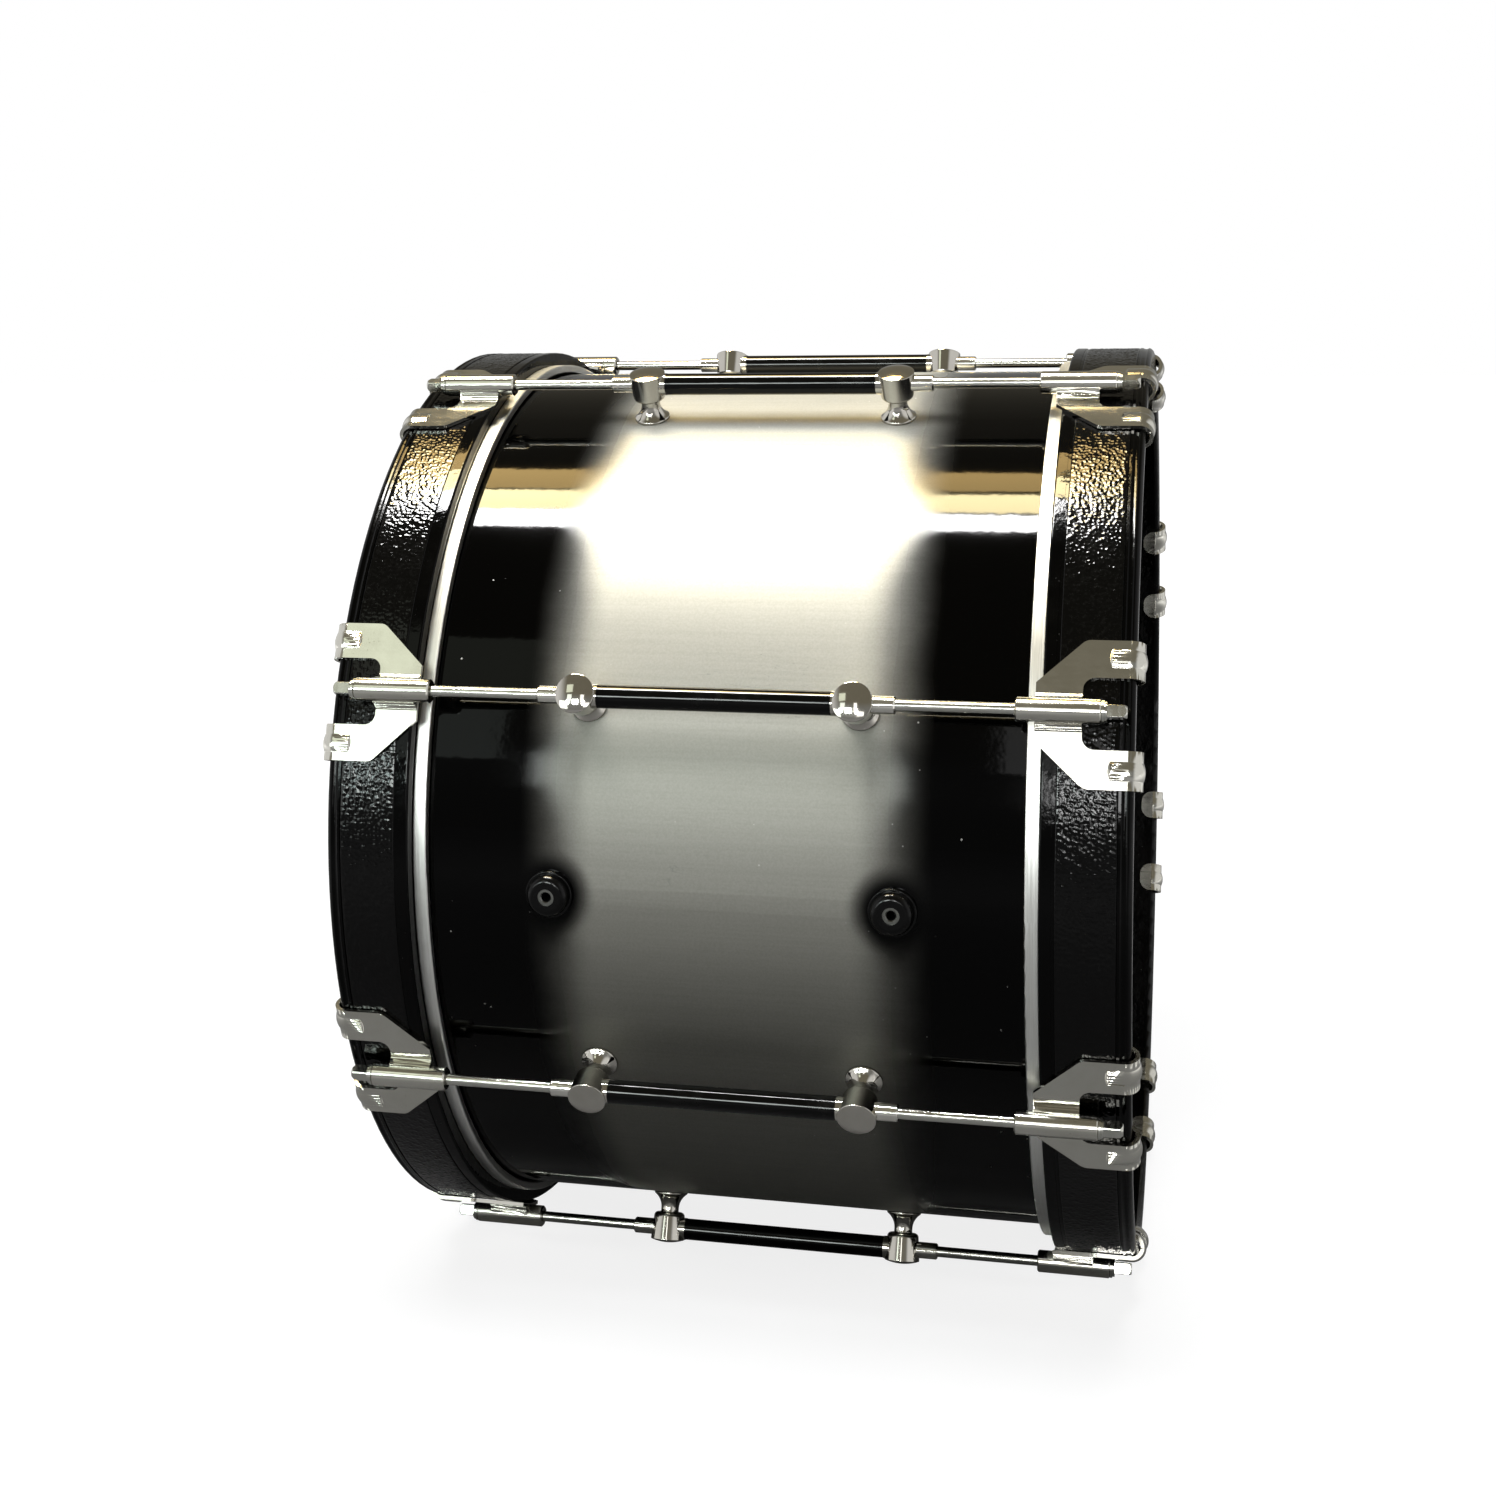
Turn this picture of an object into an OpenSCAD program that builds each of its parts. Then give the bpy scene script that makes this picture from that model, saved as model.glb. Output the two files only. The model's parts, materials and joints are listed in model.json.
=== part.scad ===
// Marching bass drum: a wooden shell with two tensioned heads, each pulled down by a wooden
// hoop, eight claw hooks and eight key rods that screw into swivel nuts in tube lugs.
// Millimetres. The drum's axis is X, the origin is the middle of the drum, +Z is up and the
// player's side, with the two carrier bosses, faces -Y.

/* [Shell] */
// Outer diameter of the shell
shell_d = 508; // [456:1:610]
// Length of the shell between its bearing edges
shell_len = 355.6; // [340:0.1:460]
// Thickness of the shell's wall
shell_t = 6.5; // [5:0.1:10]
// Rounding of the bearing edge's outer corner
edge_round = 1.5; // [0.8:0.1:3]

/* [Stations] */
// Number of tension stations round the drum
stations = 8; // [6:1:10]
// Angle of the first station above the player's side, in degrees
first_angle = 22.5; // [15:0.5:30]

/* [Heads] */
// Thickness of the head's film
film_t = 0.4; // [0.25:0.05:0.6]
// Outer radius of the film's bend over the bearing edge
film_bend = 5; // [4:0.1:5.2]
// Distance from the film's plane back to the flesh hoop's outer face
collar_drop = 15.7; // [12:0.1:20]
// Radial gap between the shell and the flesh hoop
flesh_gap = 1; // [0.6:0.1:1.4]
// Radial thickness of the flesh hoop
flesh_t = 4.8; // [4.4:0.1:6]
// Width of the flesh hoop along the drum
flesh_w = 7.4; // [6:0.1:12]
// Depth of the slot that holds the film's skirt
slot_depth = 4; // [2:0.1:5]

/* [Wood hoops] */
// Radial gap between the shell and the hoop
hoop_gap = 3.6; // [3.4:0.1:4.2]
// Radial thickness of the hoop
hoop_t = 9.9; // [8.5:0.1:14]
// Width of the hoop along the drum
hoop_w = 45; // [40:0.5:60]
// Rounding of the hoop's outer corners
hoop_corner = 3.2; // [2:0.1:4]
// Width of the rounded bead on the hoop's inner edge
bead_w = 6; // [4:0.1:6.6]
// Distance from the hoop's inner face to its textured inlay
inlay_start = 7.6; // [7:0.1:9]
// Width of the textured inlay
inlay_w = 30; // [20:0.5:30.5]
// Thickness of the textured inlay
inlay_t = 0.6; // [0.4:0.1:1.2]
// Depth of the grooves beside the inlay
groove_depth = 0.6; // [0.3:0.1:0.8]

/* [Claw hooks] */
// Thickness of the claw's plate
claw_t = 2; // [1.5:0.1:2.4]
// Angle by which each wing of the claw folds down round the hoop, in degrees
claw_fold = 4.7; // [4.2:0.1:5.5]
// Reach of the claw past the hoop, over the flesh hoop
claw_overhang = 3.1; // [1:0.1:5]
// Width of the claw's root edge
claw_root_w = 29; // [24:0.5:34]
// Width of the claw over its two arms
claw_w = 73; // [68:0.5:76]
// Width of each arm
arm_w = 19; // [15:0.5:22]
// Distance from the root edge to the shoulders
claw_shoulder = 23.7; // [18:0.1:28]
// Distance from the root edge to the bottom of the notch between the arms
claw_web = 22.7; // [18:0.1:26]
// Radius of the notch's corners
notch_round = 6; // [3:0.1:8]
// Radius of the shoulders
shoulder_round = 6; // [3:0.1:9]
// Length of the lip behind the hoop
lip_len = 7.7; // [5:0.1:12]
// Radius of the lip's corners
lip_round = 7.3; // [2:0.1:7.4]
// Width of the pressed rib along each arm
rib_w = 9.4; // [6:0.1:11]
// Height of the pressed rib
rib_h = 1; // [0.6:0.1:1.4]
// Length of the rib's straight part on the arm
rib_len = 14.2; // [11:0.1:16]
// Offset of the rib from the middle of its arm
rib_shift = 0.4; // [0:0.1:1.5]
// Width of the saddle that carries the sleeve
saddle_w = 19; // [17:0.1:22]
// Thickness of the saddle's lips beside the sleeve
saddle_lip = 0.5; // [0.4:0.1:1]

/* [Tension rods] */
// Height of the rods' axes above the shell
rod_height = 21; // [20.8:0.1:26]
// Diameter of the rod
rod_d = 6; // [5:0.1:6.4]
// Distance from the post's axis back to the rod's inner end
rod_inset = 2.8; // [1:0.1:4]
// Diameter of the flange under the key head
flange_d = 10.2; // [9.2:0.1:11]
// Thickness of the flange under the key head
flange_t = 1.3; // [1:0.1:2]
// Distance across the flats of the square key head
key_w = 6.3; // [5:0.1:6.4]
// Length of the square key head
key_len = 9.6; // [6:0.1:12]
// Diameter of the washer under the flange
washer_d = 11.6; // [10.4:0.1:12.4]
// Thickness of the washer under the flange
washer_t = 1.2; // [0.8:0.1:2]
// Outer diameter of the claw's sleeve
sleeve_d = 12.4; // [11:0.1:12.6]
// Length of the claw's sleeve
sleeve_len = 41.4; // [38:0.1:48]
// Reach of the sleeve past the claw's root edge
sleeve_lead = 9.1; // [4:0.1:14]

/* [Tube lugs] */
// Distance of the lug posts from the middle of the drum
post_x = 71.1; // [50:0.1:75]
// Height of the lug post above the shell
post_h = 29.5; // [28:0.1:34]
// Diameter of the post's foot
foot_d = 20; // [16:0.1:24]
// Thickness of the foot's edge
foot_edge = 1.2; // [0.8:0.1:2]
// Diameter of the post's waist
waist_d = 10.6; // [9.6:0.1:12]
// Height of the waist above the shell
waist_h = 9.6; // [8:0.1:10.4]
// Height at which the barrel starts
barrel_h = 12.6; // [12:0.1:14]
// Diameter of the barrel above the waist
barrel_d = 14; // [13.6:0.1:15.4]
// Diameter of the barrel where its flare starts
barrel_end_d = 15.6; // [15:0.1:17]
// Diameter of the flared end
barrel_top_d = 20.4; // [19:0.1:22]
// Height of the flare
flare_h = 1.7; // [1:0.1:2.4]
// Bevel round the barrel's outer end
barrel_bevel = 0.5; // [0.4:0.1:1.4]
// Outer diameter of the lug tube
tube_d = 12.2; // [11:0.1:12.6]
// Thickness of the tube's wall
tube_t = 1.5; // [1:0.1:2]
// Distance from the post's axis to the end of the tube
tube_inset = 11; // [11:0.1:20]
// Diameter of the collar at the post
collar_d = 13; // [12.6:0.1:14]
// Length of the collar's spigot inside the tube
spigot_len = 8; // [4:0.5:15]
// Diameter of the swivel nut
nut_d = 9.2; // [8.8:0.1:9.4]
// Reach of the swivel nut past the post's axis
nut_reach = 20.7; // [15:0.1:25]
// Diameter of the swivel nut's flange
nut_flange_d = 10.8; // [10.2:0.1:11]
// Thickness of the swivel nut's flange
nut_flange_t = 2.3; // [1.5:0.1:3]
// Diameter of the screw that holds a post
screw_d = 6; // [5:0.1:6.2]
// Length of the screw's grip inside the post
screw_grip = 12; // [8:0.1:12.4]
// Diameter of the screw's head
screw_head_d = 11.5; // [10:0.1:14]
// Height of the screw's head
screw_head_h = 3.6; // [3:0.1:5]
// Diameter of the washer inside the shell
post_washer_d = 16; // [14:0.1:20]
// Thickness of the washer inside the shell
post_washer_t = 1.5; // [1:0.1:2.5]

/* [Carrier bosses] */
// Distance of the carrier bosses from the middle of the drum
boss_x = 89.6; // [84:0.1:110]
// Diameter of the boss
boss_d = 25; // [22:0.1:30]
// Height of the boss above the shell
boss_h = 7.4; // [6.4:0.1:9]
// Height of the boss's base step
boss_step_h = 2.2; // [1.6:0.1:3]
// Width of the boss's base step
boss_step = 1.3; // [0.6:0.1:2]
// Rounding of the boss's shoulder
boss_round = 4; // [2:0.1:4]
// Outer diameter of the threaded insert
insert_d = 8.8; // [8:0.1:10]
// Diameter of the carrier's screw hole in the insert, at the crests of its thread
insert_bore_d = 5; // [4:0.1:6]
// Diameter of the ring that locks the insert in the boss
insert_ring_d = 13; // [12:0.1:15]
// Reach of the insert past its nut
insert_tail = 1; // [0.5:0.1:3]
// Distance across the flats of the insert's nut
boss_nut_w = 14; // [13:0.1:17]
// Thickness of the insert's nut
boss_nut_t = 6; // [4:0.1:8]
// Diameter of the washer under the nut
boss_washer_d = 24; // [20:0.1:28]
// Thickness of the washer under the nut
boss_washer_t = 1.5; // [1:0.1:2.5]

/* [Hidden] */
$fn = 96;
sides = ["left", "right"];

// Clearances: pieces that seat on each other, pieces that turn or slide, and the film's gaps
seat = 0.05;
run = 0.05;
film_clear = 0.3;
rod_clear = 0.3;
hole_clear = 0.3;
washer_clear = 0.2;
overlap = 0.5;

// Shell
shell_r = shell_d / 2;
shell_half = shell_len / 2;
shell_in_r = shell_r - shell_t;

// Heads and flesh hoops
film_x = shell_half + film_clear;
skirt_r = shell_r + hoop_gap - 2 * film_clear;
flesh_out_x = film_x - collar_drop;
flesh_in_x = flesh_out_x - flesh_w;
flesh_in_r = shell_r + flesh_gap;
flesh_round = 0.8;

// Wood hoops
hoop_in_x = flesh_out_x;
hoop_out_x = hoop_in_x + hoop_w;
hoop_in_r = shell_r + hoop_gap;
hoop_r = hoop_in_r + hoop_t;
inlay_x = hoop_in_x + inlay_start;
ridge_w = 1.3;
ridge_x = inlay_x + inlay_w + ridge_w;
inner_bead_round = 1.3;
outer_bead_w = 2.6;

// Claws: the wings lie on the hoop, the arms bend round its end
claw_base_r = hoop_r + seat;
claw_in_x = hoop_in_x - claw_overhang;
lip_reach = wing_y(claw_w / 2);
lip_top_r = sqrt(pow(hoop_in_r - seat, 2) - pow(lip_reach, 2));
bend_in_r = (claw_base_r - lip_top_r) / 2;
bend_out_r = bend_in_r + claw_t;
bend_x = hoop_out_x - hoop_corner;
bend_r = claw_base_r - bend_in_r;
shoulder_x = claw_in_x + claw_shoulder;
notch_x = claw_in_x + claw_web;
rib_r = (pow(rib_w / 2, 2) + pow(rib_h, 2)) / (2 * rib_h);
rib_ball_r = 1.25 * rib_r;

// Rods, sleeves and washers
rod_r = shell_r + rod_height;
sleeve_in_x = claw_in_x - sleeve_lead;
sleeve_out_x = sleeve_in_x + sleeve_len;
washer_out_x = sleeve_out_x + washer_t;
rod_in_x = post_x - rod_inset;
flange_out_x = washer_out_x + flange_t;
rod_tip_chamfer = 0.8;
key_taper = 1.6;
key_edge_cut = 0.6;

// Lugs: nut seat is the step inside the post on which the swivel nut's flange pulls
tube_end_x = post_x - tube_inset;
tube_in_d = tube_d - 2 * tube_t;
nut_seat_x = post_x - rod_inset;
nut_in_x = nut_seat_x - nut_flange_t;
dome_drop = 1.7;
cut_depth = 1;
screw_end_gap = 1;
collar_step = 0.2;
screw_slot_w = 1.6;
screw_slot_share = 0.55;
rim_h = post_h - dome_drop - barrel_bevel;
flare_from = rim_h - flare_h;
bevel_r = barrel_top_d / 2 - barrel_bevel;
dome_r = (pow(bevel_r, 2) + pow(dome_drop, 2)) / (2 * dome_drop);
post_seat_r = sqrt(pow(shell_in_r, 2) - pow(post_washer_d / 2, 2)) - seat;

// Carrier bosses
boss_seat_r = sqrt(pow(shell_in_r, 2) - pow(boss_washer_d / 2, 2)) - seat;
insert_sink = 0.6;
insert_end_h = boss_h - insert_sink;
boss_step_round = 0.6;
insert_ring_h = 1.6;
insert_ring_t = 1.8;
insert_in_r = boss_seat_r - boss_washer_t - boss_nut_t - insert_tail;

// Position along a wing, from its line of contact with the hoop, of a point v from the claw's middle
function wing_y(v) = (v - (hoop_r + seat) * sin(claw_fold)) / cos(claw_fold);

// Points of an arc round centre c
function arc(c, r, from, to, steps = 8) =
    [for (i = [0:steps]) c + r * [cos(from + (to - from) * i / steps), sin(from + (to - from) * i / steps)]];

function station_angle(n) = first_angle + (n - 1) * 360 / stations;

// Turns a profile of radius and distance along the drum round the drum's axis
module round_drum() {
    rotate([0, 90, 0]) rotate_extrude() children();
}

// Moves what is drawn for the right end to the named end
module on_side(side) {
    mirror([side == "left" ? 1 : 0, 0, 0]) children();
}

// Turns what is drawn with +Z as the outward radius to an angle above the player's side
module at_angle(angle) {
    rotate([90 - angle, 0, 0]) children();
}

module at_stations() {
    for (n = [1:stations]) at_angle(station_angle(n)) children();
}

// A cylinder along the drum's axis, from one distance to another, at radius z
module along(from, to, d, z = rod_r) {
    translate([from, 0, z]) rotate([0, 90, 0]) cylinder(d = d, h = to - from);
}

// The shell's outside, as the feet of the pieces that stand on it are cut to it
module shell_seat(from, to) {
    translate([from, 0, 0]) rotate([0, 90, 0]) cylinder(r = shell_r + seat, h = to - from, $fn = 720);
}

// A cone along the drum's axis
module along_cone(from, to, d_from, d_to, z = rod_r) {
    translate([from, 0, z]) rotate([0, 90, 0]) cylinder(d1 = d_from, d2 = d_to, h = to - from);
}

module rounded_box(low, high, r) {
    translate([low.x, low.y + r]) square([high.x - low.x, high.y - low.y - 2 * r]);
    translate([low.x + r, low.y]) square([high.x - low.x - 2 * r, high.y - low.y]);
    for (x = [low.x + r, high.x - r], y = [low.y + r, high.y - r]) translate([x, y]) circle(r = r);
}

// What a rounding of radius r takes off an outline's upper right corner
module corner_cut(corner, r) {
    translate(corner - [r, r]) difference() {
        square(r + overlap);
        circle(r = r);
    }
}

// Half of the shell's wall, with its bearing edge: round outside, sloping at 45 degrees inside
module shell_section() {
    slope = shell_t - edge_round;
    difference() {
        polygon([
            [shell_in_r, -overlap],
            [shell_in_r, shell_half - slope],
            [shell_in_r + slope, shell_half],
            [shell_r, shell_half],
            [shell_r, -overlap]
        ]);
        corner_cut([shell_r, shell_half], edge_round);
    }
}

module shell() {
    color([0.45, 0.45, 0.42]) difference() {
        round_drum() {
            shell_section();
            mirror([0, 1]) shell_section();
        }
        for (x = [-post_x, post_x]) at_stations()
            translate([x, 0, shell_in_r - shell_t]) cylinder(d = screw_d + 2 * hole_clear, h = 3 * shell_t);
        for (x = [-boss_x, boss_x]) at_angle(0)
            translate([x, 0, shell_in_r - shell_t]) cylinder(d = insert_d + 2 * washer_clear, h = 3 * shell_t);
    }
}

// The film: a flat disc, a bend over the bearing edge and a skirt down into the flesh hoop
module drumhead() {
    bend_c = [skirt_r - film_bend, film_x + film_t - film_bend];
    skirt_in_x = flesh_out_x - slot_depth + seat;
    color([0.93, 0.93, 0.91]) round_drum() {
        translate([0, film_x]) square([bend_c.x, film_t]);
        intersection() {
            difference() {
                translate(bend_c) circle(r = film_bend);
                translate(bend_c) circle(r = film_bend - film_t);
            }
            translate(bend_c) square(film_bend);
        }
        translate([skirt_r - film_t, skirt_in_x]) square([film_t, bend_c.y - skirt_in_x]);
    }
}

module flesh_hoop() {
    slot_in_r = skirt_r - film_t - 2 * seat;
    color([0.8, 0.8, 0.78]) round_drum() difference() {
        rounded_box([flesh_in_r, flesh_in_x], [flesh_in_r + flesh_t, flesh_out_x], flesh_round);
        translate([slot_in_r, flesh_out_x - slot_depth])
            square([skirt_r + 2 * seat - slot_in_r, slot_depth + overlap]);
    }
}

// Section of the wood hoop: a bead, the inlay's recess, a ridge, a hollow and an outer bead
module hoop_section() {
    groove_x = hoop_in_x + bead_w;
    hollow_half = (hoop_out_x - outer_bead_w - ridge_x) / 2;
    hollow_r = (pow(hollow_half, 2) + pow(groove_depth, 2)) / (2 * groove_depth);
    difference() {
        union() {
            rounded_box([hoop_in_r, hoop_in_x + hoop_corner], [hoop_r, hoop_out_x], hoop_corner);
            rounded_box([hoop_in_r, hoop_in_x], [hoop_r, groove_x + 2 * hoop_corner], inner_bead_round);
        }
        translate([hoop_r - groove_depth, groove_x]) square([2 * groove_depth, inlay_x - groove_x + overlap]);
        translate([hoop_r - inlay_t, inlay_x]) square([2 * inlay_t, inlay_w]);
        translate([hoop_r - groove_depth + hollow_r, ridge_x + hollow_half]) circle(r = hollow_r);
    }
}

module wood_hoop() {
    color([0.06, 0.06, 0.06]) round_drum() hoop_section();
}

module hoop_inlay() {
    color([0.12, 0.12, 0.12]) round_drum()
        translate([hoop_r - inlay_t + seat, inlay_x + seat]) square([inlay_t - 2 * seat, inlay_w - 2 * seat]);
}

// Outline of half a claw, flat on its wing: root edge, chamfer, shoulder, arm and notch
module wing_outline() {
    chamfer = atan2((claw_w - claw_root_w) / 2, claw_shoulder);
    shoulder_c = [shoulder_x + shoulder_round * tan(chamfer / 2), wing_y(claw_w / 2) - shoulder_round];
    arm_end_x = bend_x + 2 * bend_out_r;
    arm_in = wing_y(claw_w / 2 - arm_w);
    polygon(concat(
        [[claw_in_x, wing_y(-overlap)], [claw_in_x, wing_y(claw_root_w / 2)]],
        arc(shoulder_c, shoulder_round, 90 + chamfer, 90),
        [[arm_end_x, wing_y(claw_w / 2)], [arm_end_x, arm_in]],
        arc([notch_x + notch_round, arm_in - notch_round], notch_round, 90, 180),
        [[notch_x, wing_y(-overlap)]]
    ));
}

// Outline of the lip behind the hoop, a tongue that runs on into the bend
module lip_outline() {
    arm_in = wing_y(claw_w / 2 - arm_w) - overlap;
    arm_out = wing_y(claw_w / 2) + overlap;
    lip_x = bend_x - lip_len;
    polygon(concat(
        [[bend_x + lip_round, arm_in], [bend_x + lip_round, arm_out]],
        arc([lip_x + lip_round, arm_out - lip_round - overlap], lip_round, 90, 180),
        arc([lip_x + lip_round, arm_in + lip_round + overlap], lip_round, 180, 270)
    ));
}

// Section of the bent sheet's outside or inside: two straight legs and a half round
module bend_section(r, from) {
    translate([bend_x, bend_r]) circle(r = r);
    translate([from, bend_r - r]) square([bend_x - from, 2 * r]);
}

// The claw's sheet along one wing, bent round the hoop's end and cut to its outlines
module wing_sheet() {
    arm_out = wing_y(claw_w / 2);
    span = arm_out + overlap - wing_y(-2 * overlap);
    difference() {
        intersection() {
            translate([0, arm_out + overlap, 0]) rotate([90, 0, 0]) linear_extrude(span) difference() {
                bend_section(bend_out_r, claw_in_x - overlap);
                bend_section(bend_in_r, claw_in_x - 2 * overlap);
            }
            translate([0, 0, bend_r - 2 * bend_out_r]) linear_extrude(4 * bend_out_r) wing_outline();
        }
        translate([0, 0, bend_r - 2 * bend_out_r]) linear_extrude(2 * bend_out_r) difference() {
            translate([claw_in_x - overlap, wing_y(-2 * overlap)]) square([bend_x - claw_in_x + overlap, span]);
            lip_outline();
        }
    }
}

// Section of the rib above the plate's face: x is across the rib, y is its height
module rib_section() {
    intersection() {
        translate([0, rib_h - rib_r]) circle(r = rib_r);
        translate([-rib_w, -claw_t / 2]) square([2 * rib_w, claw_t / 2 + 2 * rib_h]);
    }
}

// Straight stretch of the rib towards -X from the bend, its end rounded by a ball; the face is at z = 0
module rib_stretch() {
    ball_x = rib_ball_r - rib_len;
    intersection() {
        rotate([90, 0, -90]) linear_extrude(rib_len) rib_section();
        union() {
            translate([ball_x, 0, rib_h - rib_r]) sphere(r = rib_ball_r);
            translate([ball_x, -rib_w, -claw_t]) cube([rib_len, 2 * rib_w, 2 * claw_t]);
        }
    }
}

// One half of the claw, folded down round the hoop on its wing's line of contact
module wing() {
    rib_y = wing_y((claw_w - arm_w) / 2) + rib_shift;
    rotate([-claw_fold, 0, 0]) {
        wing_sheet();
        translate([bend_x, rib_y, claw_base_r + claw_t]) rib_stretch();
        translate([bend_x, rib_y, bend_r]) rotate([90, 0, 0]) rotate([0, 0, -90])
            rotate_extrude(angle = 180) translate([bend_out_r, 0]) rotate(-90) rib_section();
    }
}

// The saddle between the wings: hollow flanks, and a trough for the sleeve
module saddle() {
    plate_top = (claw_base_r + claw_t) / cos(claw_fold) - saddle_w / 2 * tan(claw_fold);
    lip_y = sleeve_d / 2 + seat + saddle_lip;
    flank_w = saddle_w / 2 - lip_y;
    flank_h = rod_r - plate_top;
    flank_r = (pow(flank_w, 2) + pow(flank_h, 2)) / (2 * flank_w);
    saddle_base = plate_top - claw_t / 2;
    difference() {
        translate([claw_in_x, -saddle_w / 2, saddle_base])
            cube([claw_web, saddle_w, rod_r - saddle_base]);
        for (s = [-1, 1]) translate([claw_in_x - overlap, s * (lip_y + flank_r), rod_r])
            rotate([0, 90, 0]) cylinder(r = flank_r, h = claw_web + 2 * overlap);
    }
}

module claw() {
    color([0.78, 0.78, 0.76]) difference() {
        union() {
            wing();
            mirror([0, 1, 0]) wing();
            saddle();
        }
        along(claw_in_x - overlap, notch_x + overlap, sleeve_d + 2 * seat);
    }
}

module claw_sleeve() {
    chamfer = 0.8;
    bore_d = rod_d + 2 * rod_clear;
    color([0.82, 0.82, 0.8]) difference() {
        union() {
            along_cone(sleeve_in_x, sleeve_in_x + chamfer, sleeve_d - 2 * chamfer, sleeve_d);
            along(sleeve_in_x + chamfer, sleeve_out_x - chamfer, sleeve_d);
            along_cone(sleeve_out_x - chamfer, sleeve_out_x, sleeve_d, sleeve_d - 2 * chamfer);
        }
        along(sleeve_in_x - overlap, sleeve_out_x + overlap, bore_d);
    }
}

module rod_washer() {
    color([0.5, 0.5, 0.5]) difference() {
        along(sleeve_out_x, washer_out_x, washer_d);
        along(sleeve_out_x - overlap, washer_out_x + overlap, rod_d + rod_clear);
    }
}

// A key rod: a straight shank, a round flange and a square head with a tapered tip
module tension_rod() {
    taper_x = flange_out_x + key_len - key_taper;
    key_corner_d = key_w * sqrt(2) - key_edge_cut;
    color([0.6, 0.6, 0.58]) {
        along_cone(rod_in_x, rod_in_x + rod_tip_chamfer, rod_d - 2 * rod_tip_chamfer, rod_d);
        along(rod_in_x + rod_tip_chamfer, washer_out_x, rod_d);
        along(washer_out_x, flange_out_x, flange_d);
        intersection() {
            translate([flange_out_x, -key_w / 2, rod_r - key_w / 2]) cube([key_len, key_w, key_w]);
            union() {
                along(flange_out_x, taper_x, key_corner_d);
                along_cone(taper_x, flange_out_x + key_len, key_corner_d, key_w - key_edge_cut);
            }
        }
    }
}

// Room for a lug post's barrel and flared end, on the post's axis
module barrel_room(gap) {
    translate([0, 0, shell_r]) rotate_extrude() polygon([
        [0, barrel_h],
        [barrel_d / 2 + gap, barrel_h],
        [barrel_end_d / 2 + gap, flare_from - gap],
        [barrel_top_d / 2 + gap, rim_h - gap],
        [barrel_top_d / 2 + gap, post_h],
        [0, post_h]
    ]);
}

// Half section of a post, height measured from the shell
module post_section() {
    waist_r = waist_d / 2;
    foot_w = foot_d / 2 - waist_r;
    foot_h = waist_h - foot_edge;
    hollow_r = (pow(foot_w, 2) + pow(foot_h, 2)) / (2 * foot_w);
    intersection() {
        difference() {
            polygon([
                [0, -cut_depth],
                [foot_d / 2, -cut_depth],
                [foot_d / 2, foot_edge],
                [foot_d / 2, waist_h],
                [waist_r, waist_h],
                [waist_r, barrel_h - (barrel_d / 2 - waist_r) / 2],
                [barrel_d / 2, barrel_h],
                [barrel_end_d / 2, flare_from],
                [barrel_top_d / 2, rim_h],
                [bevel_r, post_h - dome_drop],
                [bevel_r, post_h],
                [0, post_h]
            ]);
            intersection() {
                translate([waist_r + hollow_r, waist_h]) circle(r = hollow_r);
                translate([waist_r, foot_edge]) square([hollow_r, foot_h + overlap / 2]);
            }
        }
        union() {
            translate([0, post_h - dome_r]) circle(r = dome_r);
            translate([0, -cut_depth]) square([foot_d, post_h / 2]);
        }
    }
}

module lug_post() {
    color([0.75, 0.75, 0.74]) difference() {
        translate([post_x, 0, shell_r]) rotate_extrude() post_section();
        shell_seat(post_x - foot_d, post_x + foot_d);
        translate([post_x, 0, shell_r - 2 * cut_depth])
            cylinder(d = screw_d + 2 * run, h = 2 * cut_depth + screw_grip + screw_end_gap);
        along(nut_seat_x - overlap, post_x + barrel_top_d, nut_d + 2 * run);
        along(post_x - barrel_top_d, nut_seat_x, nut_flange_d + 2 * run);
    }
}

// A swivel nut: a flanged, threaded sleeve that looks out of the post
module swivel_nut() {
    chamfer = 0.6;
    nut_out_x = post_x + nut_reach;
    color([0.8, 0.8, 0.78]) difference() {
        union() {
            along(nut_in_x, nut_seat_x - seat, nut_flange_d);
            along(nut_seat_x - seat, nut_out_x - chamfer, nut_d);
            along_cone(nut_out_x - chamfer, nut_out_x, nut_d, nut_d - 2 * chamfer);
        }
        along(nut_in_x - overlap, nut_out_x + overlap, rod_d + 2 * run);
    }
}

module lug_tube() {
    color([0.07, 0.07, 0.07]) difference() {
        along(-tube_end_x, tube_end_x, tube_d);
        along(-tube_end_x - overlap, tube_end_x + overlap, tube_in_d);
    }
}

// A turned collar between tube and post, with a spigot in each; its outer end is cut to the barrel
module tube_collar() {
    spigot_out_x = nut_in_x - seat;
    color([0.78, 0.78, 0.76]) {
        difference() {
            along_cone(tube_end_x, post_x, tube_d + 2 * collar_step, collar_d);
            translate([post_x, 0, 0]) barrel_room(seat);
            along(spigot_out_x - nut_flange_t, post_x + overlap, nut_flange_d - 2 * run);
        }
        along(tube_end_x - spigot_len, tube_end_x, tube_in_d - 2 * run);
        along(tube_end_x, spigot_out_x, nut_flange_d - 2 * run);
    }
}

module post_screw() {
    head_top_r = post_seat_r - post_washer_t;
    slot = [screw_slot_w, screw_slot_share * screw_head_d, screw_head_h / 2];
    color([0.6, 0.6, 0.6]) translate([post_x, 0, 0]) difference() {
        union() {
            translate([0, 0, head_top_r - screw_head_h]) cylinder(d = screw_head_d, h = screw_head_h);
            translate([0, 0, head_top_r]) cylinder(d = screw_d, h = shell_r + screw_grip - head_top_r);
        }
        for (turn = [0, 90]) rotate([0, 0, turn])
            translate([0, 0, head_top_r - screw_head_h]) cube([slot.x, slot.y, 2 * slot.z], center = true);
    }
}

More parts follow.
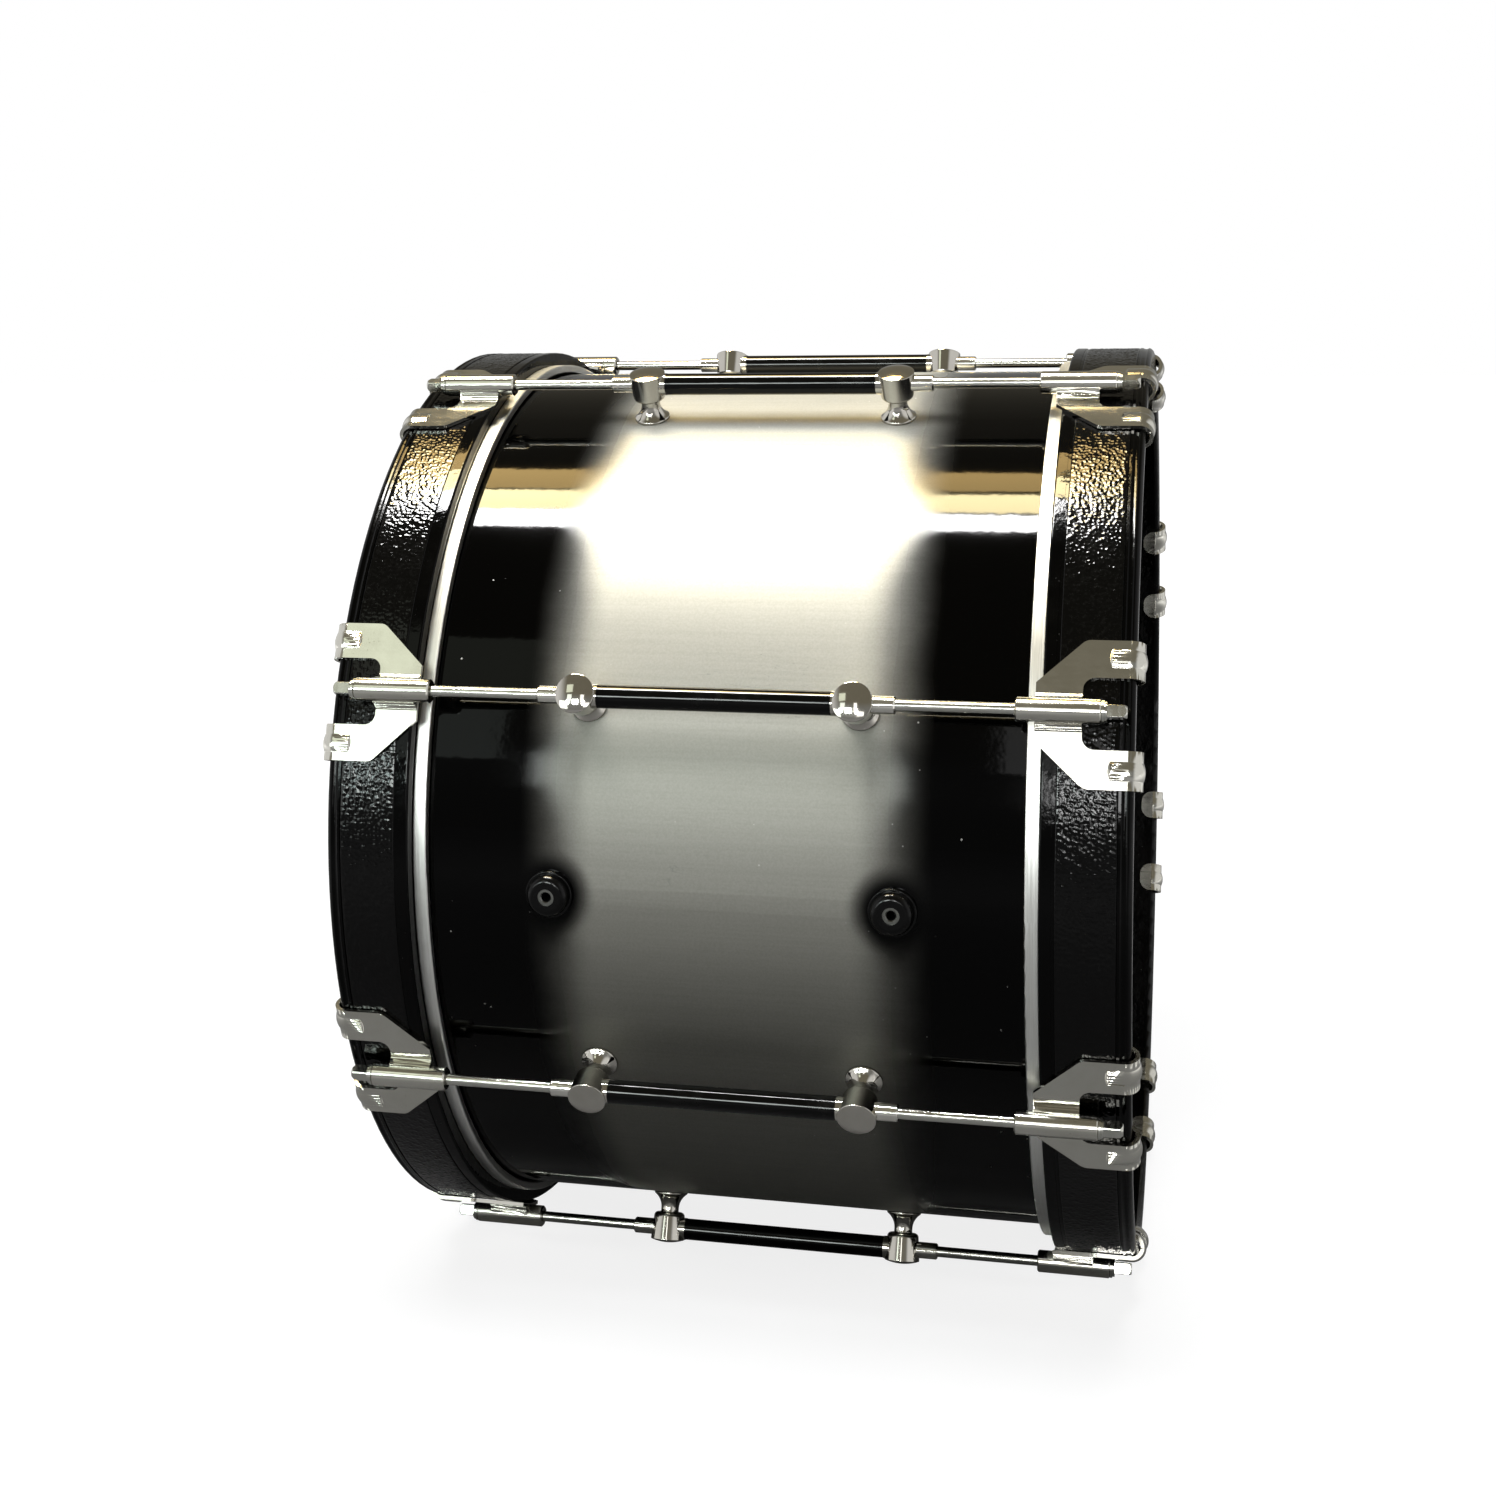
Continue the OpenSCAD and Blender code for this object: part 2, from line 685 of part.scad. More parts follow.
module post_washer() {
    color([0.65, 0.65, 0.65]) translate([post_x, 0, post_seat_r - post_washer_t]) difference() {
        cylinder(d = post_washer_d, h = post_washer_t);
        translate([0, 0, -overlap]) cylinder(d = screw_d + 2 * washer_clear, h = post_washer_t + 2 * overlap);
    }
}

// A carrier boss is moulded round its insert: a base step, a rounded dome and a round mouth
module carrier_boss() {
    top_r = boss_d / 2 - boss_step;
    color([0.05, 0.05, 0.05]) translate([boss_x, 0, 0]) difference() {
        translate([0, 0, shell_r]) rotate_extrude() difference() {
            polygon([
                [0, -cut_depth],
                [boss_d / 2, -cut_depth],
                [boss_d / 2, boss_step_h],
                [top_r, boss_step_h],
                [top_r, boss_h],
                [0, boss_h]
            ]);
            corner_cut([top_r, boss_h], boss_round);
            corner_cut([boss_d / 2, boss_step_h], boss_step_round);
        }
        shell_seat(-boss_d, boss_d);
        translate([0, 0, shell_r - 2 * cut_depth])
            cylinder(d = insert_d + 2 * seat, h = boss_h + 3 * cut_depth);
        translate([0, 0, shell_r + insert_ring_h - seat])
            cylinder(d = insert_ring_d + 2 * seat, h = insert_ring_t + 2 * seat);
    }
}

module boss_insert() {
    mouth = 0.5;
    end_r = shell_r + insert_end_h;
    color([0.7, 0.7, 0.7]) translate([boss_x, 0, 0]) difference() {
        union() {
            translate([0, 0, insert_in_r]) cylinder(d = insert_d, h = end_r - insert_in_r);
            translate([0, 0, shell_r + insert_ring_h]) cylinder(d = insert_ring_d, h = insert_ring_t);
        }
        translate([0, 0, insert_in_r - overlap])
            cylinder(d = insert_bore_d, h = end_r - insert_in_r + 2 * overlap);
        translate([0, 0, end_r - mouth])
            cylinder(d1 = insert_bore_d, d2 = insert_bore_d + 4 * mouth, h = 2 * mouth);
    }
}

module boss_nut() {
    color([0.7, 0.7, 0.7]) translate([boss_x, 0, boss_seat_r - boss_washer_t - boss_nut_t]) difference() {
        cylinder(d = boss_nut_w / cos(30), h = boss_nut_t, $fn = 6);
        translate([0, 0, -overlap]) cylinder(d = insert_d + 2 * run, h = boss_nut_t + 2 * overlap);
    }
}

module boss_washer() {
    color([0.65, 0.65, 0.65]) translate([boss_x, 0, boss_seat_r - boss_washer_t]) difference() {
        cylinder(d = boss_washer_d, h = boss_washer_t);
        translate([0, 0, -overlap]) cylinder(d = insert_d + 2 * washer_clear, h = boss_washer_t + 2 * overlap);
    }
}

// Pieces of the shell that stand at both ends or at the two bosses
shell();
at_stations() lug_tube();  // lug_tubes
for (side = sides) on_side(side) at_stations() tube_collar();  // tube_collars
for (side = sides) on_side(side) at_stations() post_screw();  // post_screws
for (side = sides) on_side(side) at_stations() post_washer();  // post_washers
for (side = sides) on_side(side) at_angle(0) carrier_boss();  // carrier_bosses
for (side = sides) on_side(side) at_angle(0) boss_insert();  // boss_inserts
for (side = sides) on_side(side) at_angle(0) boss_nut();  // boss_nuts
for (side = sides) on_side(side) at_angle(0) boss_washer();  // boss_washers

// Pieces of each end
for (side = sides) on_side(side) {
    wood_hoop();
    hoop_inlay();
    drumhead();
    flesh_hoop();
    at_stations() lug_post();
    at_stations() swivel_nut();
    at_stations() claw_sleeve();
    at_stations() rod_washer();
    for (n = [1:stations]) at_angle(station_angle(n)) {
        claw();
        tension_rod();
    }
}
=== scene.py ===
import json
import math

import bpy
import numpy as np
from mathutils import Matrix, Vector

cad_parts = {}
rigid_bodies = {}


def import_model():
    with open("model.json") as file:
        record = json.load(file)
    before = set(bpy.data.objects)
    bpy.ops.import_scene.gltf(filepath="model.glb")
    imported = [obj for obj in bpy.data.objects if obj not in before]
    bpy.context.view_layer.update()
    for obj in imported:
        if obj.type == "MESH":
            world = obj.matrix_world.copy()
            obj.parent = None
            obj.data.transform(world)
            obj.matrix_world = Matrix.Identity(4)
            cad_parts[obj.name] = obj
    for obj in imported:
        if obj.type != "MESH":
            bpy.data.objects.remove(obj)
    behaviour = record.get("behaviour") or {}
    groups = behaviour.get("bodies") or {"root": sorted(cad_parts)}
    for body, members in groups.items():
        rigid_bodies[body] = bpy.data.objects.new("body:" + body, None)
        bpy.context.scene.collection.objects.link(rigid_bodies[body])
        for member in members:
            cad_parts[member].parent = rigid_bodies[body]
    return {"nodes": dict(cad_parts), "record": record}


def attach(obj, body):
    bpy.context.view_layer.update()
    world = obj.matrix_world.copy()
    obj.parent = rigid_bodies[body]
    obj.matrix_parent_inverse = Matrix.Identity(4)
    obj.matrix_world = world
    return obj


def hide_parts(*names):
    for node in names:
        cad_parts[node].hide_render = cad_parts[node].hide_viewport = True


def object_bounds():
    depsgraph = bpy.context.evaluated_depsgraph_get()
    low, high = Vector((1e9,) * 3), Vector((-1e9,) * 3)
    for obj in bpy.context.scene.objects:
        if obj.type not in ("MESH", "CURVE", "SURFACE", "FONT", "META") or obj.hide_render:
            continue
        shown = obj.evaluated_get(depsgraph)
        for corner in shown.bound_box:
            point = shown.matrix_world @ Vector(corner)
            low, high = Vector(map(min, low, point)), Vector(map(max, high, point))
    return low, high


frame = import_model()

for leftover in [o for o in bpy.data.objects if o.name in ("Cube", "Light", "Camera")]:
    bpy.data.objects.remove(leftover)
cad_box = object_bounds()
scene = bpy.context.scene
nodes = frame["nodes"]
SIDES = {"left": -1, "right": 1}

# Sizes of the CAD part in metres: the hoops' radius is the reach of its box, and the scene repeats the others
HOOP_R = cad_box[1][2]
SHELL_R = 0.254
INLAY_X = 0.17
INLAY_W = 0.03
INLAY_T = 0.0006
POST_X = 0.0711
BOSS_X = 0.0896
# How far the scene's own meshes stay inside the pieces that they replace
SEAT = 0.00005
# Angles of the eight lug posts of a side round the drum
STATIONS = [math.radians(22.5 + 45 * n) for n in range(8)]

# The pebbled inlay: metres, points of its grid and seeds
PEBBLE = 0.0022
PEBBLE_DEPTH = 0.00034
INLAY_AROUND = 2340
INLAY_ACROSS = 44
INLAY_SEEDS = {"left": 7, "right": 11}

# A turned lug post, in millimetres; heights are above the shell
POST_H = 29.5
POST_RIM_H = 27.3
POST_END_R = 10.2
POST_END_BEVEL = 0.5
POST_DOME_R = 9.87
POST_BARREL_R = 9.2
POST_BARREL_H = 12.0
POST_BARREL_ROUND = 2.4
POST_CHAMFER = 0.3
POST_WAIST_R = 5.3
POST_WAIST_H = 9.6
POST_FOOT_R = 10.0
POST_FOOT_RIM_R = 9.75
POST_FOOT_RIM_H = 1.2
POST_AROUND = 64


# Materials

class Nodes:
    """A node tree under construction: short calls for the nodes that the finishes, floor and world need."""

    def __init__(self, owner, output, coords):
        owner.use_nodes = True
        self.tree = owner.node_tree
        self.tree.nodes.clear()
        self.out = self.add(output)
        self.coords = self.add("ShaderNodeTexCoord").outputs[coords]

    def add(self, kind, **settings):
        node = self.tree.nodes.new(kind)
        for key, value in settings.items():
            setattr(node, key, value)
        return node

    def link(self, a, b):
        self.tree.links.new(a, b)

    def feed(self, socket, value):
        """Links a socket's value, or sets a plain one; a colour comes without its alpha."""
        if isinstance(value, bpy.types.NodeSocket):
            self.link(value, socket)
        elif isinstance(value, tuple):
            socket.default_value = (*value, 1)
        else:
            socket.default_value = value

    def noise(self, scale, detail=4.0, roughness=0.55, distortion=0.0, location=(0, 0, 0), vector=None):
        """Cloudy noise; its scale is one number or one for each axis."""
        if vector is None:
            place = self.add("ShaderNodeMapping")
            self.link(self.coords, place.inputs["Vector"])
            place.inputs["Scale"].default_value = scale if isinstance(scale, tuple) else (scale,) * 3
            place.inputs["Location"].default_value = location
            vector = place.outputs["Vector"]
        node = self.add("ShaderNodeTexNoise")
        self.link(vector, node.inputs["Vector"])
        values = {"Scale": 1.0, "Detail": detail, "Roughness": roughness, "Distortion": distortion}
        for key, value in values.items():
            node.inputs[key].default_value = value
        return node.outputs["Fac"]

    def cells(self, scale, feature="F1"):
        """Distance to the nearest of scattered points."""
        node = self.add("ShaderNodeTexVoronoi", feature=feature)
        self.link(self.coords, node.inputs["Vector"])
        node.inputs["Scale"].default_value = scale
        return node.outputs["Distance"]

    def math(self, operation, *values):
        node = self.add("ShaderNodeMath", operation=operation)
        for socket, value in zip(node.inputs, values):
            self.feed(socket, value)
        return node.outputs[0]

    def length(self, a, b):
        """The root of the sum of two squares."""
        return self.math("SQRT", self.math("ADD", self.math("MULTIPLY", a, a), self.math("MULTIPLY", b, b)))

    def fit(self, value, low, high, to_low=0.0, to_high=1.0, smooth=False):
        """Brings low to high over to to_low to to_high, and holds still outside of them."""
        node = self.add("ShaderNodeMapRange", interpolation_type="SMOOTHSTEP" if smooth else "LINEAR")
        values = {"Value": value, "From Min": low, "From Max": high, "To Min": to_low, "To Max": to_high}
        for key, item in values.items():
            self.feed(node.inputs[key], item)
        return node.outputs["Result"]

    def blend(self, factor, a, b):
        """A mix of two colours."""
        node = self.add("ShaderNodeMix", data_type="RGBA")
        colours = [s for s in node.inputs if s.type == "RGBA"]
        self.feed(node.inputs[0], factor)
        self.feed(colours[0], a)
        self.feed(colours[1], b)
        return [s for s in node.outputs if s.type == "RGBA"][0]

    def split(self):
        """The x, y and z of the coordinates."""
        node = self.add("ShaderNodeSeparateXYZ")
        self.link(self.coords, node.inputs[0])
        return node.outputs

    def bump(self, height, distance, strength):
        node = self.add("ShaderNodeBump")
        self.link(height, node.inputs["Height"])
        node.inputs["Distance"].default_value = distance
        node.inputs["Strength"].default_value = strength
        return node.outputs["Normal"]

    def shader(self, kind, **values):
        node = self.add(kind)
        for key, value in values.items():
            self.feed(node.inputs[key], value)
        return node.outputs[0]

    def choose(self, factor, a, b):
        """Shader a where the factor is 0, and b where it is 1."""
        node = self.add("ShaderNodeMixShader")
        self.link(factor, node.inputs["Fac"])
        self.link(a, node.inputs[1])
        self.link(b, node.inputs[2])
        return node.outputs[0]

    def rays(self):
        """1 for a ray straight from the camera, and 1 for a ray that was mirrored or let through."""
        path = self.add("ShaderNodeLightPath").outputs
        return path["Is Camera Ray"], self.math("MAXIMUM", path["Is Glossy Ray"], path["Is Transmission Ray"])


class Paint(Nodes):
    """A finish: one principled shader and what feeds it."""

    SOCKETS = {
        "color": "Base Color", "metallic": "Metallic", "rough": "Roughness", "ior": "IOR",
        "level": "Specular IOR Level", "normal": "Normal",
    }

    def __init__(self, slot):
        self.mat = bpy.data.materials.new(f"{slot}_look")
        super().__init__(self.mat, "ShaderNodeOutputMaterial", "Object")
        self.principled = self.add("ShaderNodeBsdfPrincipled")
        self.link(self.principled.outputs["BSDF"], self.out.inputs["Surface"])

    def set(self, **values):
        for key, value in values.items():
            self.feed(self.principled.inputs[self.SOCKETS[key]], value)
        return self.mat


# The lacquer mirrors less than one percent, and the inlay, tubes and bosses a little more
SHELL_GLOSS = {"ior": 1.34, "level": 0.16}
HOOP_GLOSS = {"ior": 1.36, "level": 0.16}
PLAIN_GLOSS = {"ior": 1.36, "level": 0.3}
# The silver band: where it starts and is full at the left, at the right, and round a boss
FADE_LEFT = (-0.107, -0.066)
FADE_RIGHT = (0.111, 0.066)
BOSS_HALO = (0.0125, 0.026)
# Colours of the shell
BLACK = (0.0004, 0.0004, 0.0004)
SILVER_LOW = (0.41, 0.405, 0.355)
SILVER_HIGH = (0.45, 0.445, 0.395)
SILVER_MIST = (0.62, 0.62, 0.58)
SCRATCH = (0.2, 0.2, 0.18)
SPECK = (0.7, 0.7, 0.66)
WOOD_PALE = (0.62, 0.44, 0.27)
WOOD_DARK = (0.42, 0.27, 0.15)
PLY_LINE = (0.3, 0.18, 0.1)
# Thickness of a ply, in metres
PLY = 0.0011


def silver_band(p, x, y, z):
    """1 on the silver middle: its edge wanders a little, and it stays black round the two bosses in front."""
    edge = p.math("ADD", x, p.math("MULTIPLY_ADD", p.noise(30, 3.0), 0.006, -0.003))
    band = p.math("MULTIPLY", p.fit(edge, *FADE_LEFT, smooth=True), p.fit(edge, *FADE_RIGHT, smooth=True))
    boss = p.length(p.math("SUBTRACT", p.math("ABSOLUTE", x), BOSS_X), z)
    halo = p.math("MAXIMUM", p.fit(boss, *BOSS_HALO, smooth=True), p.math("GREATER_THAN", y, 0.0))
    return p.math("MULTIPLY", p.math("POWER", band, 1.3), halo)


def silver_paint(p, streak, mist):
    """Silver with streaks, mist and hairline scratches."""
    silver = p.blend(p.fit(streak, 0.3, 0.7), SILVER_LOW, SILVER_HIGH)
    silver = p.blend(p.fit(mist, 0.35, 0.65, 0.0, 0.22), silver, SILVER_MIST)
    hair = p.noise((26, 900, 60), 2.0, 0.5, 0.6, location=(3, 1, 7))
    hair = p.fit(p.math("ABSOLUTE", p.math("SUBTRACT", hair, 0.5)), 0.006, 0.0)
    hair = p.math("MULTIPLY", hair, p.fit(p.noise(11, 2.0, location=(5, 0, 2)), 0.56, 0.66))
    return p.blend(p.math("MULTIPLY", hair, 0.5), silver, SCRATCH)


def bare_wood(p, radius):
    """The shell's wood, with the plies' lines on its cut edges."""
    grain = p.noise((7, 260, 260), 6.0, 0.6, 0.8)
    wood = p.blend(p.fit(grain, 0.32, 0.7), WOOD_PALE, WOOD_DARK)
    ply = p.fit(p.math("PINGPONG", radius, PLY), 0.0003, 0.0008)
    return p.blend(p.math("MULTIPLY", ply, 0.35), wood, PLY_LINE)


def shell_lacquer():
    """Black gloss ends, airbrushed into a silver middle, with specks of dust; bare wood inside."""
    p = Paint("shell_lacquer")
    x, y, z = p.split()
    radius = p.length(y, z)
    inside = p.fit(radius, SHELL_R - 0.0004, SHELL_R - 0.0012)
    fade = silver_band(p, x, y, z)
    streak = p.noise((9, 520, 520), 4.0, 0.6)
    mist = p.noise(900, 2.0)
    # The specks lie in patches, and more of them on the silver
    patch = p.fit(p.math("MULTIPLY_ADD", fade, 0.1, p.noise(9, 2.0)), 0.5, 0.62)
    speck = p.math("MULTIPLY", p.fit(p.cells(85.0), 0.055, 0.03, smooth=True), patch)
    paint = p.blend(speck, p.blend(fade, BLACK, silver_paint(p, streak, mist)), SPECK)
    # Smudged gloss on the black, satin on the silver, dull wood
    rough = p.math("MULTIPLY_ADD", p.noise(12, 5.0, 0.6), 0.05, 0.025)
    rough = p.fit(fade, 0.0, 0.8, rough, 0.46)
    rough = p.math("MAXIMUM", rough, p.math("MULTIPLY", inside, 0.6))
    rough = p.math("MAXIMUM", rough, p.math("MULTIPLY", speck, 0.3))
    fine = p.math("MULTIPLY_ADD", p.math("MULTIPLY", mist, fade), 0.25, p.math("MULTIPLY", streak, 0.12))
    height = p.math("ADD", p.math("MULTIPLY", p.noise(120, 2.0), 0.5), p.math("MULTIPLY", fine, fade))
    return p.set(color=p.blend(inside, paint, bare_wood(p, radius)), metallic=p.math("MULTIPLY", fade, 0.17),
                 rough=rough, normal=p.bump(height, 0.0001, 0.5), **SHELL_GLOSS)


def hoop_lacquer():
    """Thick black gloss lacquer on the wooden hoops, a little wavy, with dull rubbed spots."""
    p = Paint("hoop_lacquer")
    rub = p.noise(18, 6.0, 0.65)
    dust = p.math("MULTIPLY", p.fit(p.cells(240.0), 0.09, 0.05, smooth=True), p.fit(rub, 0.5, 0.62))
    color = p.blend(p.math("MULTIPLY", dust, 0.5), (0.0005, 0.0005, 0.0005), (0.1, 0.1, 0.09))
    height = p.math("ADD", p.noise(60, 2.0), p.math("MULTIPLY", p.noise(260, 2.0), 0.35))
    return p.set(color=color, rough=p.fit(rub, 0.42, 0.7, 0.05, 0.2), normal=p.bump(height, 0.0004, 0.55),
                 **HOOP_GLOSS)


def hoop_grain():
    """Pebbled black inlay: the pebbles are in the mesh, and a finer wrinkle and rubbed tops are here."""
    p = Paint("hoop_grain")
    wrinkle = p.noise(900, 3.0, 0.6)
    top = p.fit(p.noise(500, 2.0), 0.5, 0.75)
    color = p.blend(top, (0.0008, 0.0008, 0.0008), (0.005, 0.005, 0.0045))
    return p.set(color=color, rough=p.fit(p.noise(35), 0.35, 0.7, 0.06, 0.12),
                 normal=p.bump(wrinkle, 0.00005, 0.5), **PLAIN_GLOSS)


def head_film():
    """Smooth white film: a milky coat, a greyer bend at its rim, and faint mallet marks in the middle."""
    p = Paint("head_film")
    radius = p.length(*p.split()[1:3])
    milk = p.fit(p.noise(8, 5.0, 0.6), 0.3, 0.7)
    mark = p.fit(p.cells(26.0, "SMOOTH_F1"), 0.6, 0.2, smooth=True)
    mark = p.math("MULTIPLY", mark, p.fit(radius, 0.13, 0.02, smooth=True))
    bend = p.fit(radius, 0.246, SHELL_R, smooth=True)
    color = p.blend(milk, (0.80, 0.80, 0.775), (0.87, 0.87, 0.85))
    color = p.blend(p.math("MULTIPLY", mark, 0.16), color, (0.45, 0.45, 0.43))
    color = p.blend(p.math("MULTIPLY", bend, 0.35), color, (0.5, 0.5, 0.47))
    grain = p.noise(700, 3.0)
    return p.set(color=color, rough=p.fit(grain, 0.3, 0.7, 0.34, 0.5), ior=1.5, level=0.4,
                 normal=p.bump(grain, 0.00008, 0.5))


def flesh_aluminium():
    """Satin aluminium, drawn round the hoop: fine lines along it and a few dull spots."""
    p = Paint("flesh_aluminium")
    x, y, z = p.split()
    across, along = 1800.0, 9.0
    lines = p.add("ShaderNodeCombineXYZ")
    p.link(p.math("MULTIPLY", x, across), lines.inputs[0])
    p.link(p.math("MULTIPLY", p.length(y, z), across), lines.inputs[1])
    p.link(p.math("MULTIPLY", p.math("ARCTAN2", z, y), along), lines.inputs[2])
    drawn = p.noise(1, 4.0, 0.6, vector=lines.outputs[0])
    dull = p.fit(p.noise(22, 5.0, 0.6), 0.55, 0.75, 0.0, 0.5)
    color = p.blend(p.fit(drawn, 0.3, 0.7), (0.62, 0.62, 0.59), (0.72, 0.72, 0.7))
    color = p.blend(dull, color, (0.5, 0.5, 0.46))
    return p.set(color=color, metallic=1.0, rough=p.fit(drawn, 0.3, 0.7, 0.3, 0.4),
                 normal=p.bump(drawn, 0.00003, 0.3))


def plated(slot, light, dark, rough, haze=0.5, lines=240, pits=0.0):
    """Metal plate: cloudy haze from fingers and weather, faint polishing lines and a few pits."""
    p = Paint(slot)
    cloud = p.noise(45, 6.0, 0.62, 0.4)
    fine = p.noise(lines, 4.0, 0.6)
    pit = p.math("MULTIPLY", p.fit(p.cells(420.0), 0.16, 0.08, smooth=True), p.fit(cloud, 0.52, 0.66))
    color = p.blend(p.math("MULTIPLY", p.fit(cloud, 0.35, 0.75), haze), light, dark)
    color = p.blend(p.math("MULTIPLY", pit, pits), color, (0.12, 0.1, 0.07))
    mixed = p.math("MULTIPLY_ADD", fine, 0.35, p.math("MULTIPLY", cloud, 0.65))
    return p.set(color=color, metallic=1.0, rough=p.fit(mixed, 0.35, 0.68, *rough),
                 normal=p.bump(fine, 0.00004, 0.35))


def gloss_black(slot, base, worn, rough, lines):
    """Gloss black paint or moulding: soft scuffs, faint lines and lighter rubbed spots."""
    p = Paint(slot)
    scuff = p.noise(60, 6.0, 0.65)
    fine = p.noise(lines, 3.0, 0.6)
    color = p.blend(p.fit(scuff, 0.55, 0.78, 0.0, 0.6), base, worn)
    mixed = p.math("MULTIPLY_ADD", fine, 0.4, p.math("MULTIPLY", scuff, 0.6))
    return p.set(color=color, rough=p.fit(mixed, 0.35, 0.68, *rough), normal=p.bump(fine, 0.00008, 0.4),
                 **PLAIN_GLOSS)


looks = {
    "shell_lacquer": shell_lacquer(),
    "hoop_lacquer": hoop_lacquer(),
    "hoop_grain": hoop_grain(),
    "head_film": head_film(),
    "flesh_aluminium": flesh_aluminium(),
    "chrome": plated("chrome", (0.52, 0.5, 0.455), (0.36, 0.345, 0.3), (0.04, 0.12)),
    "claw_chrome": plated("claw_chrome", (0.56, 0.55, 0.5), (0.44, 0.425, 0.37), (0.09, 0.2),
                          lines=(90, 420, 420), pits=0.6),
    "nut_chrome": plated("nut_chrome", (0.74, 0.73, 0.68), (0.58, 0.56, 0.49), (0.06, 0.16),
                         haze=0.4, lines=(420, 90, 90)),
    "rod_steel": plated("rod_steel", (0.56, 0.56, 0.52), (0.36, 0.35, 0.3), (0.1, 0.26),
                        haze=0.6, lines=(700, 60, 60), pits=0.8),
    "insert_steel": plated("insert_steel", (0.16, 0.16, 0.15), (0.08, 0.08, 0.07), (0.25, 0.4),
                           haze=0.6, lines=500, pits=0.5),
    "zinc_steel": plated("zinc_steel", (0.58, 0.59, 0.6), (0.44, 0.43, 0.36), (0.24, 0.42),
                         haze=0.8, lines=300, pits=0.6),
    "black_tube": gloss_black("black_tube", (0.0015, 0.0015, 0.0015), (0.02, 0.02, 0.018), (0.05, 0.16),
                              lines=(20, 500, 500)),
    "black_boss": gloss_black("black_boss", (0.002, 0.002, 0.002), (0.025, 0.025, 0.022), (0.08, 0.22),
                              lines=300),
}
slot_of = {part["node"]: part["material_slot"] for part in frame["record"]["subparts"]}
for name, node in nodes.items():
    for holder in node.material_slots:
        holder.material = looks[slot_of[name]]


# Small real edges on the claws and rods: what the solids leave sharp catches light once it is rounded

EDGE_W = 0.0003
EDGE_ANGLE = 32
JOIN_GAP = 0.000004


def soften(node):
    weld = node.modifiers.new("join", "WELD")
    weld.merge_threshold = JOIN_GAP
    bevel = node.modifiers.new("edge", "BEVEL")
    bevel.width = EDGE_W
    bevel.segments = 2
    bevel.limit_method = "ANGLE"
    bevel.angle_limit = math.radians(EDGE_ANGLE)
    bevel.use_clamp_overlap = True
    bevel.harden_normals = False
    even_shading(node).keep_sharp = True


def even_shading(piece):
    """Shades by the larger faces, so that narrow edges don't bend the light on flat ones."""
    shade = piece.modifiers.new("shade", "WEIGHTED_NORMAL")
    shade.weight = 80
    return shade


for name, node in nodes.items():
    if name.startswith(("claw_left", "claw_right", "tension_rod")):
        soften(node)


# The textured inlay as a band of pebbles

def add_mesh(name, verts, faces, body, slot):
    mesh = bpy.data.meshes.new(name)
    mesh.from_pydata([tuple(v) for v in verts], [], faces)
    mesh.update()
    mesh.polygons.foreach_set("use_smooth", [True] * len(mesh.polygons))
    mesh.materials.append(looks[slot])
    piece = bpy.data.objects.new(name, mesh)
    scene.collection.objects.link(piece)
    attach(piece, body)
    return piece


def pebble_heights(length, width, seed):
    """Heights from 0 to 1 of a wrapped sheet of pebbles, one for each point of the inlay's grid.

    Each pebble is the cell of one scattered point, and it rises from the cell's border inwards.
    """
    rng = np.random.default_rng(seed)
    cols, rows = int(length / PEBBLE), int(width / PEBBLE) + 4
    place = rng.uniform(0.05, 0.95, (cols, rows, 2))
    tall = rng.uniform(0.45, 1.0, (cols, rows))
    # The grid's points, counted in pebbles, with a spare row of them before the first
    u, v = np.meshgrid(np.arange(INLAY_AROUND) * cols / INLAY_AROUND,
                       1 + np.linspace(0, width / PEBBLE, INLAY_ACROSS), indexing="ij")
    col_of, row_of = np.floor(u).astype(int), np.floor(v).astype(int)
    # Distances to the nearest and second nearest point, and the nearest one's height
    beyond = 9.0
    first, second, top = np.full(u.shape, beyond), np.full(u.shape, beyond), np.zeros(u.shape)
    for du in (-1, 0, 1):
        for dv in (-1, 0, 1):
            col, row = col_of + du, np.clip(row_of + dv, 0, rows - 1)
            point = place[col % cols, row]
            away = np.hypot(col + point[..., 0] - u, row + point[..., 1] - v)
            nearer = away < first
            second = np.where(nearer, first, np.minimum(second, away))
            top = np.where(nearer, tall[col % cols, row], top)
            first = np.where(nearer, away, first)
    slope = 0.55
    dome = np.clip((second - first) / slope, 0, 1)
    return dome * (2 - dome) * top


def inlay(side, sign):
    """A band of pebbles inside the plain strip that it replaces."""
    around, across = INLAY_AROUND, INLAY_ACROSS
    out_r, in_r = HOOP_R - SEAT, HOOP_R - INLAY_T + SEAT
    low, high = INLAY_X + SEAT, INLAY_X + INLAY_W - SEAT
    heights = pebble_heights(2 * math.pi * out_r, high - low, INLAY_SEEDS[side])
    # The pebbles sink over the last two rows at each edge
    rim = np.clip(np.minimum(np.arange(across), np.arange(across)[::-1]) / 2.0, 0, 1)
    radius = out_r - PEBBLE_DEPTH * (1 - heights * rim)
    xs = np.linspace(low, high, across)
    back = np.full(around, in_r)
    bands = [(xs[0], back)] + [(xs[j], radius[:, j]) for j in range(across)] + [(xs[-1], back)]
    angle = np.arange(around) * 2 * math.pi / around
    y, z = -np.cos(angle), np.sin(angle)
    rings = [np.stack([np.full(around, x) * sign, r * y, r * z], 1) for x, r in bands]
    faces = []
    for j in range(len(rings)):
        a, b = j * around, ((j + 1) % len(rings)) * around
        for i in range(around):
            k = (i + 1) % around
            face = (a + i, b + i, b + k, a + k)
            faces.append(face if sign < 0 else face[::-1])
    piece = add_mesh(f"pebbled_inlay_{side}", np.concatenate(rings), faces, f"{side}_hoop", "hoop_grain")
    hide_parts(f"hoop_inlay_{side}")


